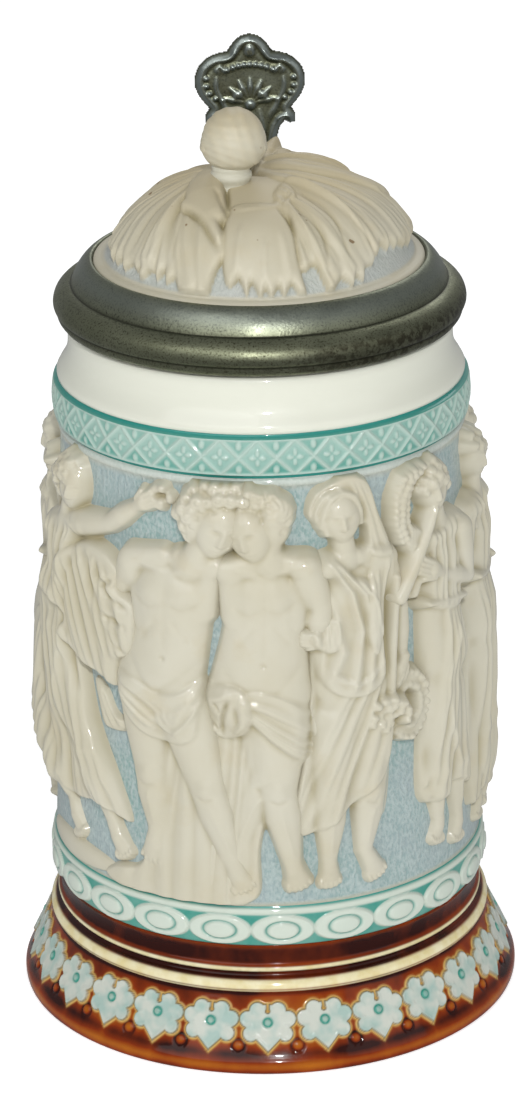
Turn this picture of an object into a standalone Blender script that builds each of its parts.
"""A half-litre relief beer stein with a hinged pewter lid.

The stoneware vessel stands on its flat underside at the origin, its axis is +Z, and the handle
and the lid's hinge are at +Y. Outlines are given in millimetres as (radius, height) pairs.
"""

import math

import bmesh
import bpy
from mathutils import Vector
from mathutils.geometry import interpolate_bezier

MM = 0.001
SEGMENTS = 48
GAP = 0.3

# Heights and radii of the vessel, in millimetres.
FOOT_RADIUS = 54.9
FOOT_TOP = 26.8
LOWER_BAND_TOP = 36.5
UPPER_BAND_LOW = 131.5
UPPER_BAND_TOP = 141.2
LIP_TOP = 152.8
LIP_RADIUS = 40.9
WALL_RADIUS_LOW = 46.8
WALL_RADIUS_HIGH = 43.0
CAVITY_RADIUS = 38.0
FLOOR_TOP = 14.0
BAND_SEAT = 1.4

# The lid.
LID_LOW = LIP_TOP + GAP
RIM_RADIUS = 43.8
INLAY_RADIUS = 35.1
INLAY_EDGE_Z = 165.6
DOME_TOP_Z = 183.6
HEAD_CENTRE = Vector((-5.0, -5.0, 192.2))
HEAD_RADIUS = 6.8
HEAD_STRETCH = 1.08

# The hinge, whose pin lies along X behind the lid.
HINGE_Y = 53.0
HINGE_Z = 157.0
KNUCKLE_RADIUS = 4.0
KNUCKLE_LENGTH = 4.1
KNUCKLE_PITCH = 4.7
PIN_RADIUS = 1.5
BORE_RADIUS = 1.9
PIN_HEAD_RADIUS = 2.4
THUMBLIFT_TOP_Z = 200.9
THUMBLIFT_Y = 50.0
THUMBLIFT_THICKNESS = 2.4

# The handle, in the YZ plane.
HANDLE_WIDTH = 14.5
HANDLE_DEPTH = 10.5
HANDLE_KNOTS = (
    ((41.0, 117.0), (47.0, 130.0), (54.0, 138.0), (63.0, 138.0)),
    ((63.0, 138.0), (76.0, 138.0), (83.0, 124.0), (83.0, 106.0)),
    ((83.0, 106.0), (83.0, 84.0), (66.0, 64.0), (43.0, 55.0)),
)
HANDLE_STEPS = 8
HANDLE_SIDES = 12
STRAP_THICKNESS = 1.8
STRAP_STATIONS = range(4, 9)

# Relief figures: name, angle of the feet, angle of the head, top of the head, half width of the
# shoulders, half width of the hem. Angles are in degrees from the front, positive towards +X.
GROUND_Z = 37.6
FIGURES = (
    ("relief_dancer", -60.0, -64.0, 126.0, 9.4, 12.0),
    ("relief_companion_left", -28.0, -23.0, 127.0, 9.2, 9.6),
    ("relief_companion_right", -2.0, 1.5, 126.5, 9.0, 8.6),
    ("relief_staff_bearer", 24.0, 25.0, 127.5, 8.4, 9.2),
    ("relief_flute_player", 52.0, 50.0, 127.5, 9.0, 10.0),
    ("relief_attendant", 80.0, 77.0, 127.0, 9.0, 9.5),
    ("relief_grape_bearer", 110.0, 108.0, 126.5, 10.0, 11.0),
    ("relief_drummer", 142.0, 140.0, 127.0, 10.0, 11.0),
    ("relief_torch_bearer", 218.0, 220.0, 127.0, 10.0, 11.0),
    ("relief_jug_bearer", 254.0, 256.0, 126.5, 10.0, 12.0),
)
# Stations up a figure: fraction of its height, which width it takes, that width's share, relief.
FIGURE_STATIONS = (
    (0.00, "hem", 1.00, 2.0),
    (0.14, "hem", 0.98, 3.6),
    (0.30, "hem", 0.92, 4.8),
    (0.48, "shoulder", 0.88, 5.4),
    (0.60, "shoulder", 0.78, 4.8),
    (0.72, "shoulder", 0.96, 5.4),
    (0.80, "shoulder", 1.00, 4.2),
    (0.84, "shoulder", 0.42, 3.0),
    (0.88, "head", 0.86, 4.6),
    (0.93, "head", 1.00, 5.6),
    (0.975, "head", 0.80, 4.6),
    (1.00, "head", 0.32, 1.6),
)
HEAD_HALF_WIDTH = 5.2
FIGURE_COLUMNS = 6
FIGURE_EDGE = 0.6

COLOURS = {
    "cream_stoneware": ((0.66, 0.63, 0.55), 0.35, 0.0),
    "brown_glaze": ((0.16, 0.035, 0.01), 0.12, 0.0),
    "teal_glaze": ((0.14, 0.46, 0.42), 0.2, 0.0),
    "pewter": ((0.2, 0.2, 0.18), 0.38, 1.0),
}


def clear_scene():
    for thing in list(bpy.data.objects):
        bpy.data.objects.remove(thing, do_unlink=True)


def material(name):
    """The Principled material of this name, made the first time it is asked for."""
    found = bpy.data.materials.get(name)
    if found:
        return found
    colour, roughness, metallic = COLOURS[name]
    made = bpy.data.materials.new(name)
    made.use_nodes = True
    shader = made.node_tree.nodes["Principled BSDF"]
    shader.inputs["Base Color"].default_value = (*colour, 1.0)
    shader.inputs["Roughness"].default_value = roughness
    shader.inputs["Metallic"].default_value = metallic
    return made


def add_object(name, mesh, material_name, smooth_degrees=35.0):
    """Links the bmesh as an object, shaded smooth but for its sharp edges."""
    bmesh.ops.remove_doubles(mesh, verts=mesh.verts, dist=1e-7)
    bmesh.ops.recalc_face_normals(mesh, faces=mesh.faces)
    data = bpy.data.meshes.new(name)
    mesh.to_mesh(data)
    mesh.free()
    data.shade_smooth()
    data.set_sharp_from_angle(angle=math.radians(smooth_degrees))
    data.materials.append(material(material_name))
    made = bpy.data.objects.new(name, data)
    bpy.context.scene.collection.objects.link(made)
    return made


def turned(name, outline, material_name):
    """A closed outline of (radius, height) pairs, turned about the vessel's axis."""
    mesh = bmesh.new()
    points = [mesh.verts.new((radius * MM, 0.0, height * MM)) for radius, height in outline]
    edges = [mesh.edges.new((points[i - 1], points[i])) for i in range(len(points))]
    on_axis = [e for e in edges if all(abs(v.co.x) < 1e-9 for v in e.verts)]
    bmesh.ops.delete(mesh, geom=on_axis, context="EDGES")
    bmesh.ops.spin(
        mesh,
        geom=mesh.verts[:] + mesh.edges[:],
        axis=(0.0, 0.0, 1.0),
        cent=(0.0, 0.0, 0.0),
        angle=2.0 * math.pi,
        steps=SEGMENTS,
        use_merge=True,
    )
    return add_object(name, mesh, material_name)


def block(mesh, low, high):
    """Adds a box between two corners, in millimetres."""
    centre = (Vector(low) + Vector(high)) * 0.5 * MM
    size = (Vector(high) - Vector(low)) * MM
    made = bmesh.ops.create_cube(mesh, size=1.0)["verts"]
    bmesh.ops.scale(mesh, vec=size, verts=made)
    bmesh.ops.translate(mesh, vec=centre, verts=made)


def rod_along_x(mesh, centre, radius, length, sides=24):
    """Adds a cylinder along X about a centre, in millimetres."""
    made = bmesh.ops.create_cone(
        mesh, cap_ends=True, segments=sides, radius1=radius * MM, radius2=radius * MM, depth=length * MM
    )["verts"]
    for vertex in made:
        vertex.co = Vector((vertex.co.z, vertex.co.y, -vertex.co.x)) + Vector(centre) * MM


def helper(name, mesh):
    """An object that only takes part in a Boolean."""
    made = add_object(name, mesh, "pewter")
    hide_helper(made)
    return made


def hide_helper(made):
    made.hide_render = True
    made.display_type = "WIRE"


def boolean(target, operation, other):
    modifier = target.modifiers.new(other.name, "BOOLEAN")
    modifier.operation = operation
    modifier.object = other
    modifier.solver = "EXACT"


def loft(mesh, rings, closed_ends=True):
    """Joins rings of equally many points with quads, and caps both ends."""
    loops = [[mesh.verts.new(point) for point in ring] for ring in rings]
    sides = len(loops[0])
    for lower, upper in zip(loops, loops[1:]):
        for i in range(sides):
            mesh.faces.new((lower[i - 1], lower[i], upper[i], upper[i - 1]))
    if closed_ends:
        mesh.faces.new(loops[0])
        mesh.faces.new(loops[-1])
    return loops


def wall_radius(height):
    """The vessel tapers from the lower band to the upper band."""
    share = (height - LOWER_BAND_TOP) / (UPPER_BAND_LOW - LOWER_BAND_TOP)
    return WALL_RADIUS_LOW + (WALL_RADIUS_HIGH - WALL_RADIUS_LOW) * share


def make_body_shell():
    lower_seat = WALL_RADIUS_LOW - BAND_SEAT
    upper_seat = WALL_RADIUS_HIGH - BAND_SEAT
    outline = [
        (0.0, 0.0),
        (43.6, 0.0),
        (43.6, FOOT_TOP + GAP),
        (lower_seat, FOOT_TOP + GAP),
        (lower_seat, LOWER_BAND_TOP + GAP),
        (wall_radius(LOWER_BAND_TOP), LOWER_BAND_TOP + GAP),
        (wall_radius(84.0), 84.0),
        (wall_radius(UPPER_BAND_LOW), UPPER_BAND_LOW - GAP),
        (upper_seat, UPPER_BAND_LOW - GAP),
        (upper_seat, UPPER_BAND_TOP + GAP),
        (43.2, UPPER_BAND_TOP + GAP),
        (42.2, 143.4),
        (LIP_RADIUS, 146.5),
        (LIP_RADIUS, 151.8),
        (LIP_RADIUS - 1.0, LIP_TOP),
        (CAVITY_RADIUS, LIP_TOP),
        (CAVITY_RADIUS - 0.7, 151.8),
        (CAVITY_RADIUS, 140.0),
        (CAVITY_RADIUS, FLOOR_TOP + 5.0),
        (CAVITY_RADIUS - 1.5, FLOOR_TOP + 1.5),
        (CAVITY_RADIUS - 5.0, FLOOR_TOP),
        (0.0, FLOOR_TOP),
    ]
    return turned("body_shell", outline, "cream_stoneware")


def make_foot():
    inner = 43.6 + GAP
    outline = [
        (inner, 0.0),
        (54.3, 0.0),
        (FOOT_RADIUS, 1.0),
        (FOOT_RADIUS, 2.8),
        (53.7, 5.0),
        (51.4, 9.6),
        (49.2, 13.6),
        (48.0, 16.0),
        (48.3, 17.4),
        (47.2, 19.2),
        (46.2, 20.0),
        (46.7, 20.8),
        (46.7, 22.0),
        (46.0, 23.2),
        (46.8, FOOT_TOP),
        (inner, FOOT_TOP),
    ]
    return turned("foot", outline, "brown_glaze")


def make_band(name, low, high, seat, edge, bulge):
    """A flat-backed ring with a rounded face between two edge lines."""
    third = (high - low) / 5.0
    outline = [
        (seat + GAP, low),
        (edge, low),
        (edge, low + 0.7 * third),
        (bulge, low + 1.6 * third),
        (bulge, high - 1.6 * third),
        (edge, high - 0.7 * third),
        (edge, high),
        (seat + GAP, high),
    ]
    return turned(name, outline, "teal_glaze")


def make_bands():
    lower_seat = WALL_RADIUS_LOW - BAND_SEAT
    upper_seat = WALL_RADIUS_HIGH - BAND_SEAT
    make_band("oval_band", FOOT_TOP + 2 * GAP, LOWER_BAND_TOP, lower_seat, 47.2, 47.8)
    make_band("diamond_band", UPPER_BAND_LOW, UPPER_BAND_TOP, upper_seat, 43.8, 44.6)


def figure_rings(angle_feet, angle_head, top, shoulder, hem):
    """Cross-sections up one figure: a rounded front over a back that follows the wall."""
    widths = {"shoulder": shoulder, "hem": hem, "head": HEAD_HALF_WIDTH}
    low = GROUND_Z + GAP
    rings = []
    for share, kind, portion, relief in FIGURE_STATIONS:
        height = low + (top - low) * share
        back = wall_radius(height) + GAP
        centre = math.radians(angle_feet + (angle_head - angle_feet) * share)
        half = widths[kind] * portion / back
        front = []
        rear = []
        for column in range(FIGURE_COLUMNS + 1):
            across = 2.0 * column / FIGURE_COLUMNS - 1.0
            angle = centre + across * half
            direction = Vector((math.sin(angle), -math.cos(angle), 0.0))
            rise = FIGURE_EDGE + relief * math.sqrt(1.0 - across * across)
            front.append((direction * (back + rise) + Vector((0.0, 0.0, height))) * MM)
            rear.append((direction * back + Vector((0.0, 0.0, height))) * MM)
        rings.append(front + rear[::-1])
    return rings


def make_figures():
    for name, feet, head, top, shoulder, hem in FIGURES:
        mesh = bmesh.new()
        loft(mesh, figure_rings(feet, head, top, shoulder, hem))
        caps = [face for face in mesh.faces if len(face.verts) > 4]
        for face in caps:
            ladder_cap(mesh, face)
        add_object(name, mesh, "cream_stoneware")


def ladder_cap(mesh, face):
    """Splits an end cap into quads between its front and its rear, which both follow the wall."""
    corners = list(face.verts)
    bmesh.ops.delete(mesh, geom=[face], context="FACES_ONLY")
    count = len(corners)
    for i in range(count // 2 - 1):
        mesh.faces.new((corners[i], corners[i + 1], corners[count - 2 - i], corners[count - 1 - i]))


def handle_centres():
    """Points along the handle's middle, in millimetres, from the upper end to the lower."""
    points = []
    for knots in HANDLE_KNOTS:
        start, first, second, end = [Vector((0.0, y, z)) for y, z in knots]
        points += interpolate_bezier(start, first, second, end, HANDLE_STEPS)[:-1]
    return points + [Vector((0.0, *HANDLE_KNOTS[-1][-1]))]


def handle_ring(centres, station, grow):
    """A rounded rectangle across the handle, grown outwards by a distance."""
    before = centres[max(station - 1, 0)]
    after = centres[min(station + 1, len(centres) - 1)]
    along = (after - before).normalized()
    outward = Vector((0.0, -along.z, along.y))
    ring = []
    for i in range(HANDLE_SIDES):
        turn = 2.0 * math.pi * i / HANDLE_SIDES
        across = math.copysign(abs(math.cos(turn)) ** 0.6, math.cos(turn))
        outer = math.copysign(abs(math.sin(turn)) ** 0.6, math.sin(turn))
        offset = Vector((across * (HANDLE_WIDTH / 2 + grow), 0.0, 0.0))
        offset += outward * outer * (HANDLE_DEPTH / 2 + grow)
        ring.append((centres[station] + offset) * MM)
    return ring


def make_handle():
    centres = handle_centres()
    mesh = bmesh.new()
    loft(mesh, [handle_ring(centres, i, 0.0) for i in range(len(centres))])
    handle = add_object("handle", mesh, "cream_stoneware", 50.0)
    clear = 45.0
    outline = [
        (0.0, 30.0),
        (wall_radius(30.0) + GAP, 30.0),
        (wall_radius(UPPER_BAND_LOW) + GAP, UPPER_BAND_LOW - GAP),
        (clear, UPPER_BAND_LOW - GAP),
        (clear, 150.0),
        (0.0, 150.0),
    ]
    cutter = turned("handle_wall_cutter", outline, "cream_stoneware")
    hide_helper(cutter)
    boolean(handle, "DIFFERENCE", cutter)


def make_strap_collar(mesh):
    """The pewter collar that is bent round the top of the handle."""
    centres = handle_centres()
    outer = [handle_ring(centres, i, GAP + STRAP_THICKNESS) for i in STRAP_STATIONS]
    inner = [handle_ring(centres, i, GAP) for i in STRAP_STATIONS]
    outer_loops = loft(mesh, outer, closed_ends=False)
    inner_loops = loft(mesh, inner, closed_ends=False)
    for outside, inside in ((outer_loops[0], inner_loops[0]), (outer_loops[-1], inner_loops[-1])):
        for i in range(HANDLE_SIDES):
            mesh.faces.new((outside[i - 1], outside[i], inside[i], inside[i - 1]))


def knuckles(name, offsets):
    """Hinge knuckles of one leaf, as one helper."""
    mesh = bmesh.new()
    for x in offsets:
        rod_along_x(mesh, (x, HINGE_Y, HINGE_Z), KNUCKLE_RADIUS, KNUCKLE_LENGTH)
    return helper(name, mesh)


def bore_cutter(name):
    mesh = bmesh.new()
    rod_along_x(mesh, (0.0, HINGE_Y, HINGE_Z), BORE_RADIUS, 40.0)
    return helper(name, mesh)


def make_handle_strap():
    mesh = bmesh.new()
    make_strap_collar(mesh)
    strap = add_object("handle_strap", mesh, "pewter")
    half = KNUCKLE_LENGTH / 2.0
    post_mesh = bmesh.new()
    outer = 2.0 * KNUCKLE_PITCH
    block(post_mesh, (-outer - half, HINGE_Y - 2.4, 143.4), (outer + half, HINGE_Y + 2.4, 152.3))
    posts = helper("strap_shank", post_mesh)
    boolean(strap, "UNION", posts)
    for x in (-outer, 0.0, outer):
        web_mesh = bmesh.new()
        block(web_mesh, (x - half, HINGE_Y - 2.0, 151.5), (x + half, HINGE_Y + 2.0, HINGE_Z))
        boolean(strap, "UNION", helper(f"strap_web_{round(x)}", web_mesh))
    boolean(strap, "UNION", knuckles("strap_knuckles", (-outer, 0.0, outer)))
    boolean(strap, "DIFFERENCE", bore_cutter("strap_bore"))


def make_lid_tang():
    half = KNUCKLE_LENGTH / 2.0
    mesh = bmesh.new()
    front_of_knuckles = HINGE_Y - KNUCKLE_RADIUS - 0.5
    block(mesh, (-8.0, 42.0, 156.2), (8.0, front_of_knuckles, 161.2))
    tang = add_object("lid_tang", mesh, "pewter")
    for x in (-KNUCKLE_PITCH, KNUCKLE_PITCH):
        web_mesh = bmesh.new()
        block(web_mesh, (x - half, front_of_knuckles - 1.0, 156.8), (x + half, HINGE_Y, 160.6))
        boolean(tang, "UNION", helper(f"tang_web_{round(x)}", web_mesh))
    boolean(tang, "UNION", knuckles("tang_knuckles", (-KNUCKLE_PITCH, KNUCKLE_PITCH)))
    boolean(tang, "DIFFERENCE", bore_cutter("tang_bore"))
    outline = [(0.0, 150.0), (RIM_RADIUS + GAP, 150.0), (RIM_RADIUS + GAP, 170.0), (0.0, 170.0)]
    rim_cutter = turned("tang_rim_cutter", outline, "pewter")
    hide_helper(rim_cutter)
    boolean(tang, "DIFFERENCE", rim_cutter)


def make_hinge_pin():
    """A plain pin with a low riveted head at each end."""
    shank = 5.0 * KNUCKLE_PITCH + 0.8
    mesh = bmesh.new()
    rod_along_x(mesh, (0.0, HINGE_Y, HINGE_Z), PIN_RADIUS, shank)
    pin = add_object("hinge_pin", mesh, "pewter")
    for side in (-1.0, 1.0):
        head_mesh = bmesh.new()
        rod_along_x(head_mesh, (side * (shank / 2.0 + 0.2), HINGE_Y, HINGE_Z), PIN_HEAD_RADIUS, 0.8)
        name = "pin_head_right" if side > 0 else "pin_head_left"
        boolean(pin, "UNION", helper(name, head_mesh))


def make_lid_rim():
    """The pewter ring: a stepped roll outside, a cove up to the inlay, a flange into the mouth."""
    outline = [
        (42.5, LID_LOW + 0.2),
        (43.2, LID_LOW + 1.4),
        (RIM_RADIUS, 155.6),
        (RIM_RADIUS, 157.4),
        (43.2, 158.9),
        (41.6, 160.3),
        (39.9, 160.9),
        (38.4, 161.8),
        (37.2, 163.4),
        (36.2, 165.4),
        (35.6, 166.3),
        (INLAY_RADIUS + GAP, 166.0),
        (INLAY_RADIUS + GAP, 163.4),
        (33.0, 163.4),
        (33.0, 158.0),
        (34.4, 150.4),
        (36.4, 150.4),
        (36.6, LID_LOW),
    ]
    return turned("lid_rim", outline, "pewter")


def make_lid_inlay():
    """A hollow stoneware dome, with a bust whose draped shoulders are the dome itself."""
    outline = [
        (INLAY_RADIUS, 163.4 + GAP),
        (INLAY_RADIUS, INLAY_EDGE_Z),
        (34.2, 166.9),
        (31.8, 169.8),
        (29.7, 173.1),
        (27.7, 176.4),
        (24.2, 179.7),
        (17.0, 182.4),
        (8.0, DOME_TOP_Z),
        (0.0, DOME_TOP_Z),
        (0.0, 178.0),
        (16.0, 176.6),
        (24.0, 171.0),
        (28.5, 163.4 + GAP),
    ]
    dome = turned("lid_inlay", outline, "cream_stoneware")
    neck_mesh = bmesh.new()
    neck = bmesh.ops.create_cone(
        neck_mesh, cap_ends=True, segments=20, radius1=8.5 * MM, radius2=4.2 * MM, depth=8.0 * MM
    )["verts"]
    foot_of_neck = Vector((HEAD_CENTRE.x, HEAD_CENTRE.y, 182.8))
    bmesh.ops.translate(neck_mesh, vec=foot_of_neck * MM, verts=neck)
    boolean(dome, "UNION", helper("bust_neck", neck_mesh))
    head_mesh = bmesh.new()
    head = bmesh.ops.create_uvsphere(
        head_mesh, u_segments=16, v_segments=10, radius=HEAD_RADIUS * MM
    )["verts"]
    bmesh.ops.scale(head_mesh, vec=Vector((1.0, 1.0, HEAD_STRETCH)), verts=head)
    bmesh.ops.translate(head_mesh, vec=HEAD_CENTRE * MM, verts=head)
    boolean(dome, "UNION", helper("bust_head", head_mesh))


def thumblift_outline():
    """Half of the plate's outline: an ogee crown, a round side lobe, a curl and a long neck."""
    half = [
        (0.0, 0.0),
        (1.7, 0.4),
        (3.4, 1.8),
        (4.9, 3.8),
        (8.2, 4.6),
        (10.9, 6.8),
        (12.2, 10.4),
        (11.3, 13.4),
        (8.9, 16.8),
        (9.8, 18.8),
        (9.2, 19.9),
        (7.4, 19.7),
        (6.2, 22.0),
        (5.4, 26.0),
        (4.8, 34.0),
        (5.6, 39.2),
    ]
    right = [(x, THUMBLIFT_TOP_Z - drop) for x, drop in half]
    left = [(-x, z) for x, z in right[:0:-1]]
    return right + left


def make_thumblift():
    mesh = bmesh.new()
    front_y = (THUMBLIFT_Y - THUMBLIFT_THICKNESS / 2.0) * MM
    corners = [mesh.verts.new((x * MM, front_y, z * MM)) for x, z in thumblift_outline()]
    plate = mesh.faces.new(corners)
    raised = bmesh.ops.extrude_face_region(mesh, geom=[plate])["geom"]
    moved = [part for part in raised if isinstance(part, bmesh.types.BMVert)]
    bmesh.ops.translate(mesh, vec=(0.0, THUMBLIFT_THICKNESS * MM, 0.0), verts=moved)
    bmesh.ops.triangulate(mesh, faces=[f for f in mesh.faces if len(f.verts) > 4])
    add_object("thumblift", mesh, "pewter")


def main():
    clear_scene()
    make_body_shell()
    make_foot()
    make_bands()
    make_figures()
    make_handle()
    make_handle_strap()
    make_lid_rim()
    make_lid_inlay()
    make_lid_tang()
    make_hinge_pin()
    make_thumblift()


main()
